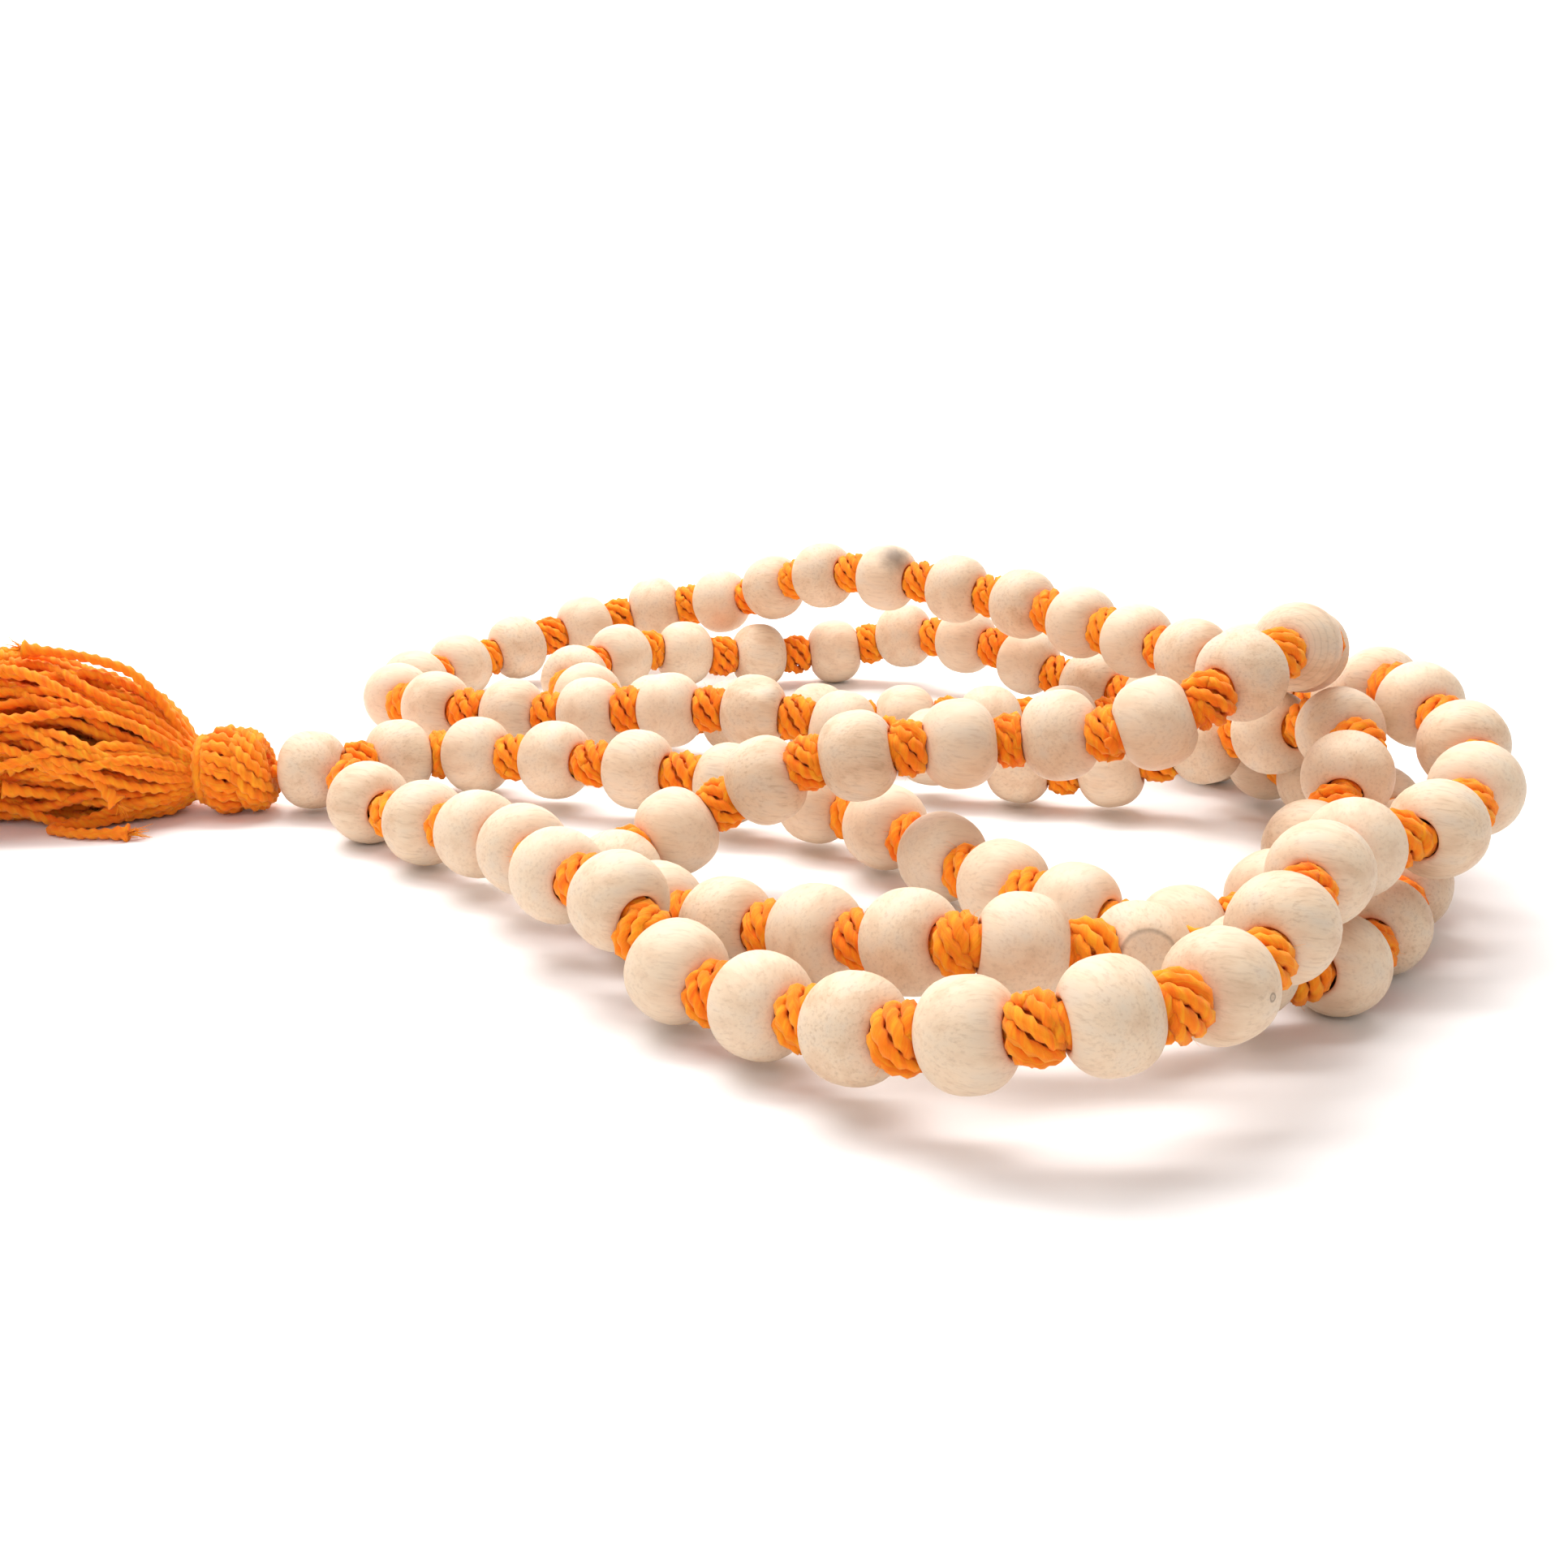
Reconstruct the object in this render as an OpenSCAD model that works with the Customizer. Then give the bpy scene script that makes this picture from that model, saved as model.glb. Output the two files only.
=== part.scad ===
// Mala prayer beads: a loop of wooden beads knotted on a yarn cord, lying in a
// loose pile, with a guru bead and a yarn tassel. Millimetres, Z up. The loop
// rests on z = 0 and the tassel points to -X.

/* [Beads] */
// Diameter of one bead; the lay of the whole string grows with it
bead_d = 10; // [9.5:0.5:12]
// Length of a bead between the flat ends of its bore
bead_len = 8.4; // [8:0.1:8.6]
// Diameter of the bore through a bead
bore_d = 4.2; // [4:0.1:4.4]

/* [Cord and knots] */
// Diameter of the stringing cord
cord_d = 1.6; // [1.2:0.1:1.6]
// Diameter of a full knot, where the string runs straight
knot_d = 6.1; // [5:0.1:6.1]
// Thickness of a full knot, where the string runs straight
knot_t = 2.6; // [2:0.1:2.6]

/* [Tassel] */
// Diameter of the round knot that heads the tassel
head_d = 10.4; // [9:0.2:10.6]
// Diameter of the binding behind the head knot
binding_d = 9.2; // [8:0.2:9.6]
// Length of the skirt of yarn from where it swings
skirt_len = 36; // [30:1:38]
// Diameter of the skirt at its open end
skirt_d = 23; // [16:1:24]

/* [Hidden] */
$fn = 48;
unit = bead_d / 10;
bead_r = bead_d / 2;
half_len = bead_len / 2;
play = 0.25;

// How the string lies: places that beads take, and how many beads further on
// the next place is. It starts and ends beside the guru bead.
route = [
    [-34, 16, 5, 3], [-2, 4, 7, 2], [20, -6, 6, 3], [39, -35, 6, 1], [45, -45, 7, 1],
    [55, -49, 6, 1], [65, -44, 8, 1], [71, -34, 10, 1], [77, -25, 15, 1], [79, -14, 17, 1],
    [74, -4, 14, 1], [68, 5, 10, 1], [57, 8, 6, 2], [35, 14, 7, 2], [12, 20, 10, 3],
    [-21, 30, 7, 1], [-32, 34, 7, 1], [-39, 43, 6, 2], [-34, 66, 5, 2], [-16, 80, 8, 1],
    [-5, 85, 10, 1], [6, 81, 12, 2], [22, 67, 19, 3], [50, 46, 19, 2], [63, 27, 18, 2],
    [73, 6, 20, 1], [77, -4, 24, 1], [73, -15, 27, 1], [65, -24, 26, 1], [55, -29, 22, 1],
    [46, -23, 19, 1], [35, -23, 18, 1], [24, -24, 17, 1], [14, -20, 13, 1], [4, -20, 7, 1],
    [-2, -29, 5, 1], [3, -39, 5, 2], [19, -54, 8, 2], [37, -67, 12, 1], [48, -64, 10, 1],
    [59, -59, 7, 1], [69, -54, 5, 1], [76, -44, 5, 3], [85, -11, 7, 1], [81, 0, 7, 2],
    [73, 22, 5, 1], [66, 32, 5, 1], [55, 34, 5, 1], [44, 30, 6, 3], [9, 33, 6, 1],
    [-2, 36, 6, 1], [-12, 43, 6, 1], [-15, 54, 6, 1], [-9, 64, 7, 2], [12, 73, 5, 1],
    [24, 76, 5, 1], [35, 74, 8, 1], [44, 66, 9, 2], [61, 50, 6, 1], [69, 42, 6, 2],
    [82, 23, 11, 1], [88, 13, 14, 1], [88, 2, 18, 3], [88, -33, 16, 1], [81, -43, 15, 1],
    [71, -49, 15, 1], [65, -59, 16, 2], [52, -78, 13, 1], [42, -84, 13, 1],
    [31, -81, 10, 2], [14, -66, 6, 1], [6, -58, 6, 1], [0, -50, 10, 1], [-7, -40, 9, 1],
    [-12, -29, 8, 3], [-34, -3, 5, 0]
];
// What centres the part's box on the origin
lay_shift = [2.8, -0.5, 0];
guru_at = unit * ([-43.5, 9, 5.5] + lay_shift);

// The cord stays on a bead's axis this far beyond the bore's mouth
bead_lead = 0.8;
guru_lead = 1.3;
cord_sides = 8;
strand_gap = 0.95;

// The knots: the core that a knot's round rim runs about, and the smallest rim
knot_core = (knot_d - knot_t) / 2;
tight_core = 0.63 * knot_core;
tight_limit = 25;
rim_min = 0.3;

// The beads that turn on their own, on each side of the guru bead
singles = 22;
// The beads between them, in runs that share a node
run_len = 8;

// The tassel's places along its own axis, from the guru bead's centre. The head
// knot is pressed onto the guru bead, round a hollow that has the bead's centre.
hollow_r = bead_r + 0.35;
head_at = -bead_r - 3.6;
neck_end = -bead_r + 0.1;
wraps = 2;
wrap_t = 1.5;
binding_front = head_at - head_d / 2 + 1;
binding_back = binding_front - wraps * wrap_t;
skirt_root_r = 4.2;
skirt_pivot = binding_back - play - skirt_root_r;
skirt_lift = 8;

// The string's curve

last = len(route) - 1;

function point(i) =
    i < 0 || i > last ? guru_at
    : unit * ([route[i][0], route[i][1], route[i][2]] + lay_shift);

function steps(i) = i < 0 || i >= last ? 1 : route[i][3];

function chord(i) = (point(i + 1) - point(i)) / steps(i);

function slope(i) =
    (chord(i - 1) * steps(i) + chord(i) * steps(i - 1)) / (steps(i - 1) + steps(i));

function curve(i, u) =
    (2 * u^3 - 3 * u^2 + 1) * point(i)
    + (u^3 - 2 * u^2 + u) * steps(i) * slope(i)
    + (3 * u^2 - 2 * u^3) * point(i + 1)
    + (u^3 - u^2) * steps(i) * slope(i + 1);

function heading(i, u) =
    unit_of((6 * u^2 - 6 * u) * (point(i) - point(i + 1))
    + (3 * u^2 - 4 * u + 1) * steps(i) * slope(i)
    + (3 * u^2 - 2 * u) * steps(i) * slope(i + 1));

function unit_of(v) = v / norm(v);

function angle_between(a, b) = acos(min(1, max(-1, unit_of(a) * unit_of(b))));

// Bead 0 is the guru bead; the counting beads follow round the string
bead_at = concat([guru_at],
    [for (i = [0:last]) for (j = [0:steps(i) - 1]) curve(i, j / steps(i))]);
bead_axis = concat([[1, 0, 0]],
    [for (i = [0:last]) for (j = [0:steps(i) - 1]) heading(i, j / steps(i))]);
beads = len(bead_at) - 1;

function wrap(k) = k > beads ? 0 : k;

// Where the string leaves bead k, and where it enters the next one
function leave(k) =
    k == 0 ? guru_at + [half_len + guru_lead, strand_gap, 0]
    : bead_at[k] + (half_len + bead_lead) * bead_axis[k];

function enter(k) =
    k == 0 ? guru_at + [half_len + guru_lead, -strand_gap, 0]
    : bead_at[k] - (half_len + bead_lead) * bead_axis[k];

// The knot between bead k and the next: the angle that the beads stand at, the
// radius of its core, and the radius of its rim, which the room leaves it
function link(k) = bead_at[wrap(k + 1)] - bead_at[k];

function tilt(k) = max(angle_between(link(k), bead_axis[k]),
    angle_between(link(k), (k == beads ? -1 : 1) * bead_axis[wrap(k + 1)]));

function core(k) = tilt(k) < tight_limit ? knot_core : tight_core;

function rim(k) = min(knot_t / 2, 0.9 * core(k), max(rim_min,
    norm(link(k)) / 2 - bead_r - play,
    norm(link(k)) / 2 * cos(tilt(k)) - knot_d / 2 * sin(tilt(k)) - half_len - play));

// Helpers

// Turns the Z axis to the given direction
module along(v) {
    rotate([0, acos(v[2] / norm(v)), atan2(v[1], v[0])])
        children();
}

module bead(k) {
    translate(bead_at[k])
        along(bead_axis[k])
            difference() {
                intersection() {
                    sphere(r = bead_r);
                    cylinder(r = bead_d, h = bead_len, center = true);
                }
                cylinder(d = bore_d, h = 2 * bead_d, center = true);
            }
}

module knot(k) {
    translate((leave(k) + enter(wrap(k + 1))) / 2)
        along(link(k)) {
            cylinder(r = core(k), h = 2 * rim(k), center = true);
            rotate_extrude()
                translate([core(k), 0])
                    circle(r = rim(k));
        }
}

// The cord: a tube swept through rings, one at each mouth of each bead
function cord_stops() = concat(
    [leave(0)],
    [for (k = [1:beads]) each [enter(k), leave(k)]],
    [enter(0)]);

function cord_ring(stops, i) =
    let (
        before = stops[max(i - 1, 0)],
        after = stops[min(i + 1, len(stops) - 1)],
        way = unit_of(unit_of(stops[i] - before + 0.001 * (after - before))
            + unit_of(after - stops[i] + 0.001 * (after - before))),
        side = unit_of(cross([0, 0, 1], way)),
        top = cross(way, side)
    )
    [for (s = [0:cord_sides - 1])
        stops[i] + cord_d / 2 * (cos(360 * s / cord_sides) * side
        + sin(360 * s / cord_sides) * top)];

module cord_tube(stops) {
    rings = len(stops);
    polyhedron(
        points = [for (i = [0:rings - 1]) each cord_ring(stops, i)],
        faces = concat(
            [[for (s = [0:cord_sides - 1]) s]],
            [for (i = [0:rings - 2]) for (s = [0:cord_sides - 1]) each [
                [i * cord_sides + s, (i + 1) * cord_sides + s,
                    (i + 1) * cord_sides + (s + 1) % cord_sides],
                [i * cord_sides + s, (i + 1) * cord_sides + (s + 1) % cord_sides,
                    i * cord_sides + (s + 1) % cord_sides]]],
            [[for (s = [cord_sides - 1:-1:0]) (rings - 1) * cord_sides + s]]));
}

// Sub-parts

module single_bead(k) {
    color([0.87, 0.74, 0.60])
        bead(k);
}

module bead_run(first) {
    color([0.87, 0.74, 0.60])
        for (k = [first:first + run_len - 1])
            bead(k);
}

module guru_bead() {
    color([0.88, 0.75, 0.61])
        bead(0);
}

module stringing_cord() {
    color([0.93, 0.42, 0.08])
        cord_tube(cord_stops());
}

module knots() {
    color([0.96, 0.50, 0.08])
        for (k = [0:beads])
            knot(k);
}

// The two strands that pass the guru bead, side by side
module tassel_neck_cord() {
    color([0.93, 0.42, 0.08])
        for (side = [-1, 1])
            translate(guru_at + [neck_end, side * strand_gap, 0])
                rotate([0, 90, 0])
                    cylinder(d = cord_d, h = half_len + guru_lead - neck_end);
}

module tassel_head_knot() {
    color([0.95, 0.47, 0.08])
        translate(guru_at)
            difference() {
                translate([head_at, 0, 0])
                    sphere(d = head_d);
                sphere(r = hollow_r);
            }
}

// Turns of yarn wound tight behind the head knot, which they fit round
module tassel_binding() {
    color([0.93, 0.42, 0.08])
        translate(guru_at)
            difference() {
                translate([binding_back, 0, 0])
                    rotate([0, 90, 0]) {
                        cylinder(d = binding_d - wrap_t, h = wraps * wrap_t);
                        for (w = [0:wraps - 1])
                            translate([0, 0, (w + 0.5) * wrap_t])
                                rotate_extrude()
                                    translate([(binding_d - wrap_t) / 2, 0])
                                        circle(d = wrap_t);
                    }
                translate([head_at, 0, 0])
                    sphere(d = head_d + 0.1);
            }
}

// A bell of yarn that widens and lifts off the table towards its open end. Its
// root is a ball about the point that it swings on.
module tassel_skirt() {
    color([0.96, 0.48, 0.08])
        intersection() {
            translate(guru_at + [skirt_pivot, 0, 0])
                rotate([0, skirt_lift - 90, 0]) {
                    sphere(r = skirt_root_r);
                    rotate_extrude()
                        polygon([
                            [0, 0],
                            [skirt_root_r, 0],
                            [0.34 * skirt_d, 0.25 * skirt_len],
                            [0.45 * skirt_d, 0.55 * skirt_len],
                            [0.5 * skirt_d, skirt_len],
                            [0, skirt_len]]);
                }
            translate([0, 0, 2 * skirt_d])
                cube([6 * skirt_len, 4 * skirt_d, 4 * skirt_d], center = true);
        }
}

// Nodes

function numbered(from, to, step) = [for (k = [from:step:to]) k];

single_numbers = concat(numbered(1, singles, 1), numbered(beads - singles + 1, beads, 1));
run_starts = numbered(singles + 1, beads - singles, run_len);

function bead_name(k) = str("bead_", k);
function run_name(k) = str("beads_", k, "_to_", k + run_len - 1);

tassel_head_knot();
tassel_binding();
tassel_skirt();
tassel_neck_cord();
guru_bead();
stringing_cord();
knots();
for (k = single_numbers)
    single_bead(k);
for (k = run_starts)
    bead_run(k);
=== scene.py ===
"""Mala prayer beads: 108 pale wooden beads and a guru bead on orange yarn, with a
knot between the beads and a tassel. Sizes are in metres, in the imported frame."""

import math

import bpy
import numpy as np
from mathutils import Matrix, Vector


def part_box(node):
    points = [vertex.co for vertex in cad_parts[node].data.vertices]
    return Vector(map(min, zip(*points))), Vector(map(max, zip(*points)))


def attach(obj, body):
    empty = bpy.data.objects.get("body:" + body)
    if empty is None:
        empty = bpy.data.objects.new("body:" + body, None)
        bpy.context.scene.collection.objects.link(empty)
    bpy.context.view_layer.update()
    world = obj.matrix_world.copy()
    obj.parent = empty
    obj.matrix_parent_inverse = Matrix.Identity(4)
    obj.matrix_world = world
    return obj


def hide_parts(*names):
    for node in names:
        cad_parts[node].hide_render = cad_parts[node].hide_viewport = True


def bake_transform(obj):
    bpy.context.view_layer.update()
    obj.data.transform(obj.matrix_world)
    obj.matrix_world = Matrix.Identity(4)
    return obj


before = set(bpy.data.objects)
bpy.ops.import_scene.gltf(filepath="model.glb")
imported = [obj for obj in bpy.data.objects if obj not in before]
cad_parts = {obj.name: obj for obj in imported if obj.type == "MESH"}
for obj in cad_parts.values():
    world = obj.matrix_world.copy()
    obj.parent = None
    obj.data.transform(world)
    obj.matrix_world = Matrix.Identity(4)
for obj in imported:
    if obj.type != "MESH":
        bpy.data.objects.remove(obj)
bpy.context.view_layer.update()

MM = 0.001


# ---------------------------------------------------------------- camera

CAMERA_AT = (0.0188, -0.2275, 0.0765)
CAMERA_PITCH = math.radians(17.17)
LENS = 44.81


def make_camera():
    data = bpy.data.cameras.new("camera")
    data.lens = LENS
    data.sensor_width = 36
    data.clip_start = 0.01
    camera = bpy.data.objects.new("camera", data)
    camera.location = CAMERA_AT
    camera.rotation_euler = (math.pi / 2 - CAMERA_PITCH, 0, 0)
    bpy.context.collection.objects.link(camera)
    bpy.context.scene.camera = camera


make_camera()


# ---------------------------------------------------------------- sizes

guru_low, guru_high = (np.array(corner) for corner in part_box("guru_bead"))
GURU = (guru_low + guru_high) / 2
BEAD_R = (guru_high[2] - guru_low[2]) / 2
HALF_LEN = 0.84 * BEAD_R
BORE_R = 0.42 * BEAD_R
CORD_D = 1.6 * MM
STRAND_GAP = 0.95 * MM
BEAD_LEAD = 0.8 * MM
GURU_LEAD = 1.3 * MM
BEADS = 108
SINGLES = [*range(1, 23), *range(87, 109)]
RUN = 8


# ---------------------------------------------------------------- the string's route

# Each point is a bead's centre: x, y, z, and how many beads there are from it to
# the next point. LAY_SHIFT centres the whole object, as in the part's source.
# Most points are results of a program that fitted the beads' places and kept them
# clear of each other, rounded to whole millimetres; some were then changed.
LAY_SHIFT = np.array([0.0028, -0.0005, 0])
ROUTE = [
    (-0.034, 0.016, 0.005, 3), (-0.002, 0.004, 0.007, 2), (0.02, -0.006, 0.006, 3),
    (0.039, -0.035, 0.006, 1), (0.045, -0.045, 0.007, 1), (0.055, -0.049, 0.006, 1),
    (0.065, -0.044, 0.008, 1), (0.071, -0.034, 0.01, 1), (0.077, -0.025, 0.015, 1),
    (0.079, -0.014, 0.017, 1), (0.074, -0.004, 0.014, 1), (0.068, 0.005, 0.01, 1),
    (0.057, 0.008, 0.006, 2), (0.035, 0.014, 0.007, 2), (0.012, 0.02, 0.01, 3),
    (-0.021, 0.03, 0.007, 1), (-0.032, 0.034, 0.007, 1), (-0.039, 0.043, 0.006, 2),
    (-0.034, 0.066, 0.005, 2), (-0.016, 0.08, 0.008, 1), (-0.005, 0.085, 0.01, 1),
    (0.006, 0.081, 0.012, 2), (0.022, 0.067, 0.019, 3), (0.05, 0.046, 0.019, 2),
    (0.063, 0.027, 0.018, 2), (0.073, 0.006, 0.02, 1), (0.077, -0.004, 0.024, 1),
    (0.073, -0.015, 0.027, 1), (0.065, -0.024, 0.026, 1), (0.055, -0.029, 0.022, 1),
    (0.046, -0.023, 0.019, 1), (0.035, -0.023, 0.018, 1), (0.024, -0.024, 0.017, 1),
    (0.014, -0.02, 0.013, 1), (0.004, -0.02, 0.007, 1), (-0.002, -0.029, 0.005, 1),
    (0.003, -0.039, 0.005, 2), (0.019, -0.054, 0.008, 2), (0.037, -0.067, 0.012, 1),
    (0.048, -0.064, 0.01, 1), (0.059, -0.059, 0.007, 1), (0.069, -0.054, 0.005, 1),
    (0.076, -0.044, 0.005, 3), (0.085, -0.011, 0.007, 1), (0.081, 0, 0.007, 2),
    (0.073, 0.022, 0.005, 1), (0.066, 0.032, 0.005, 1), (0.055, 0.034, 0.005, 1),
    (0.044, 0.03, 0.006, 3), (0.009, 0.033, 0.006, 1), (-0.002, 0.036, 0.006, 1),
    (-0.012, 0.043, 0.006, 1), (-0.015, 0.054, 0.006, 1), (-0.009, 0.064, 0.007, 2),
    (0.012, 0.073, 0.005, 1), (0.024, 0.076, 0.005, 1), (0.035, 0.074, 0.008, 1),
    (0.044, 0.066, 0.009, 2), (0.061, 0.05, 0.006, 1), (0.069, 0.042, 0.006, 2),
    (0.082, 0.023, 0.011, 1), (0.088, 0.013, 0.014, 1), (0.088, 0.002, 0.018, 3),
    (0.088, -0.033, 0.016, 1), (0.081, -0.043, 0.015, 1), (0.071, -0.049, 0.015, 1),
    (0.065, -0.059, 0.016, 2), (0.052, -0.078, 0.013, 1), (0.042, -0.084, 0.013, 1),
    (0.031, -0.081, 0.01, 2), (0.014, -0.066, 0.006, 1), (0.006, -0.058, 0.006, 1),
    (0, -0.05, 0.01, 1), (-0.007, -0.04, 0.009, 1), (-0.012, -0.029, 0.008, 3),
    (-0.034, -0.003, 0.005, 0),
]


def blend_of(before, after, steps_before, steps_after):
    """The slope at a route point, from the steps on its two sides."""
    return (before * steps_after + after * steps_before) / (steps_before + steps_after)


def lay_of_beads():
    """The beads' centres and the string's slope at each, on one smooth curve."""
    points = np.array([row[:3] for row in ROUTE]) + LAY_SHIFT
    steps = [row[3] for row in ROUTE[:-1]]
    last = len(points) - 1
    chords = [(points[i + 1] - points[i]) / steps[i] for i in range(last)]
    slopes = [blend_of(points[0] - GURU, chords[0], 1, steps[0])]
    for i in range(1, last):
        slopes.append(blend_of(chords[i - 1], chords[i], steps[i - 1], steps[i]))
    slopes.append(blend_of(chords[-1], GURU - points[-1], steps[-1], 1))
    centres, bead_slopes = [], []
    for i in range(last):
        for j in range(steps[i]):
            at, way = hermite(points[i], points[i + 1], slopes[i] * steps[i],
                              slopes[i + 1] * steps[i], j / steps[i])
            centres.append(at)
            bead_slopes.append(way / steps[i])
    centres.append(points[-1])
    bead_slopes.append(slopes[-1])
    return np.array(centres), np.array(bead_slopes)


def hermite(start, end, start_slope, end_slope, u):
    """A point on a cubic between two points with given slopes, and its direction."""
    at = ((2 * u**3 - 3 * u**2 + 1) * start + (u**3 - 2 * u**2 + u) * start_slope
          + (3 * u**2 - 2 * u**3) * end + (u**3 - u**2) * end_slope)
    way = (6 * (u * u - u) * (start - end) + (3 * u * u - 4 * u + 1) * start_slope
           + (3 * u * u - 2 * u) * end_slope)
    return at, way


def unit(v):
    return v / np.linalg.norm(v)


CENTRES, SLOPES = lay_of_beads()
AXES = np.array([unit(slope) for slope in SLOPES])
MOUTH_OUT = GURU + np.array([HALF_LEN + GURU_LEAD, STRAND_GAP, 0])
MOUTH_IN = GURU + np.array([HALF_LEN + GURU_LEAD, -STRAND_GAP, 0])


def leave(k):
    """Where the string comes out of bead k; bead 0 is the guru bead."""
    return MOUTH_OUT if k == 0 else CENTRES[k - 1] + (HALF_LEN + BEAD_LEAD) * AXES[k - 1]


def enter(k):
    """Where the string goes into bead k."""
    return MOUTH_IN if k > BEADS else CENTRES[k - 1] - (HALF_LEN + BEAD_LEAD) * AXES[k - 1]


# ---------------------------------------------------------------- mesh helpers

class Shape:
    """Gathers the points and faces of one piece. Each point also has a place in
    the material's own space, in millimetres, and a tint from -1 to 1."""

    def __init__(self):
        self.points, self.faces, self.places, self.tints = [], [], [], []
        self.marks, self.kinds = [], []
        self.count = 0

    def add(self, points, faces, places, tint, mark=None, kind=0):
        points = np.asarray(points)
        self.points.append(points)
        self.faces += [tuple(i + self.count for i in face) for face in faces]
        self.kinds += [kind] * len(faces)
        self.places.append(np.asarray(places))
        self.tints.append(np.broadcast_to(np.asarray(tint, float), (len(points),)))
        far = np.full((len(points), 3), 99.0)
        self.marks.append(far if mark is None else mark)
        self.count += len(points)

    def piece(self, name, body, nodes, slot, materials):
        mesh = bpy.data.meshes.new(name)
        mesh.from_pydata(np.concatenate(self.points).tolist(), [], self.faces)
        for key, rows in (("place", self.places), ("mark", self.marks)):
            layer = mesh.attributes.new(key, "FLOAT_VECTOR", "POINT")
            layer.data.foreach_set("vector", np.concatenate(rows).astype("f").ravel())
        layer = mesh.attributes.new("tint", "FLOAT", "POINT")
        layer.data.foreach_set("value", np.concatenate(self.tints).astype("f"))
        for material in materials:
            mesh.materials.append(material)
        mesh.polygons.foreach_set("material_index", self.kinds)
        mesh.polygons.foreach_set("use_smooth", [True] * len(self.faces))
        mesh.update()
        made = bpy.data.objects.new(name, mesh)
        bpy.context.collection.objects.link(made)
        if body:
            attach(made, body)
        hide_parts(*nodes)
        return made


def frames_along(path):
    """Two directions across the path at each of its points, without needless twist."""
    ways = np.gradient(path, axis=0)
    ways /= np.linalg.norm(ways, axis=1)[:, None]
    side = unit(np.cross(ways[0], [0.31, 0.17, 0.94]))
    sides = []
    for way in ways:
        side = unit(side - way * (side @ way))
        sides.append(side)
    sides = np.array(sides)
    return sides, np.cross(ways, sides)


PLIES = 2
PLY_DEPTH = 0.24
PLY_PITCH = 2.9 * MM
FIBRE_R = 0.018 * MM
# A strand's twist starts anywhere in this range, in radians
PHASE_RANGE = 6.28


def add_strand(shape, path, radius, tint, rng, sides=9, end_swell=0.0):
    """A length of plied yarn: a tube with twisted lobes, closed at its ends."""
    path = np.asarray(path)
    across, over = frames_along(path)
    run = np.concatenate([[0], np.cumsum(np.linalg.norm(np.diff(path, axis=0), axis=1))])
    turn = np.linspace(0, 2 * math.pi, sides, endpoint=False)
    phase = rng.uniform(0, PHASE_RANGE)
    twist = 2 * math.pi * run[:, None] / PLY_PITCH + phase
    lobe = 1 + PLY_DEPTH * np.cos(PLIES * (turn[None, :] - twist))
    radii = np.broadcast_to(np.asarray(radius, float), (len(path),))
    near_end = np.clip(1 - (run[-1] - run) / (3 * MM), 0, 1)
    size = (radii * (1 + end_swell * near_end**1.5))[:, None] * lobe
    ring = (np.cos(turn)[None, :, None] * across[:, None, :]
            + np.sin(turn)[None, :, None] * over[:, None, :])
    points = (path[:, None, :] + size[:, :, None] * ring).reshape(-1, 3)
    seed = rng.uniform(0, 50)
    places = np.stack(np.broadcast_arrays(
        run[:, None] / MM, (turn[None, :] - twist) * 1.2, seed), axis=-1).reshape(-1, 3)
    faces = []
    for i in range(len(path) - 1):
        for s in range(sides):
            t = (s + 1) % sides
            faces.append((i * sides + s, i * sides + t,
                          (i + 1) * sides + t, (i + 1) * sides + s))
    faces.append(tuple(range(sides - 1, -1, -1)))
    faces.append(tuple((len(path) - 1) * sides + s for s in range(sides)))
    shape.add(points, faces, places, tint)


def add_fibre(shape, start, way, length, thickness, rng, bend=0.5):
    """One stray fibre: a thin three-sided tube that bends and narrows."""
    side = unit(np.cross(way, rng.normal(size=3)))
    steps = 4
    path = np.array([start + way * length * t + side * length * bend * t * t
                     for t in np.linspace(0, 1, steps)])
    path[:, 2] = np.maximum(path[:, 2], thickness)
    across, over = frames_along(path)
    points, faces = [], []
    for i in range(steps):
        wide = thickness * (1 - 0.6 * i / (steps - 1))
        for s in range(3):
            angle = 2 * math.pi * s / 3
            points.append(path[i] + wide * (math.cos(angle) * across[i]
                                            + math.sin(angle) * over[i]))
    for i in range(steps - 1):
        for s in range(3):
            t = (s + 1) % 3
            faces.append((3 * i + s, 3 * i + t, 3 * i + 3 + t, 3 * i + 3 + s))
    faces += [(2, 1, 0), (3 * steps - 3, 3 * steps - 2, 3 * steps - 1)]
    shape.add(points, faces, np.array(points) / MM, rng.uniform(0, 1))


# ---------------------------------------------------------------- materials

def new_material(name):
    material = bpy.data.materials.new(name)
    material.use_nodes = True
    return material, material.node_tree.nodes, material.node_tree.links


def node(nodes, kind, **values):
    made = nodes.new("ShaderNode" + kind)
    for key, value in values.items():
        if key in made.inputs:
            made.inputs[key].default_value = value
        else:
            setattr(made, key, value)
    return made


def attribute(nodes, name):
    return node(nodes, "Attribute", attribute_name=name, attribute_type="GEOMETRY")


def mapping(nodes, links, source, scale):
    made = node(nodes, "Mapping", Scale=scale)
    links.new(source, made.inputs["Vector"])
    return made.outputs["Vector"]


def noise(nodes, links, vector, scale, detail=3.0, rough=0.55):
    made = node(nodes, "TexNoise", Scale=scale, Detail=detail, Roughness=rough)
    links.new(vector, made.inputs["Vector"])
    return made.outputs["Fac"]


def ramp(nodes, links, factor, stops):
    made = nodes.new("ShaderNodeValToRGB")
    while len(made.color_ramp.elements) < len(stops):
        made.color_ramp.elements.new(0.5)
    for element, (position, colour) in zip(made.color_ramp.elements, stops):
        element.position = position
        element.color = (*colour, 1)
    links.new(factor, made.inputs["Fac"])
    return made.outputs["Color"]


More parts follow.
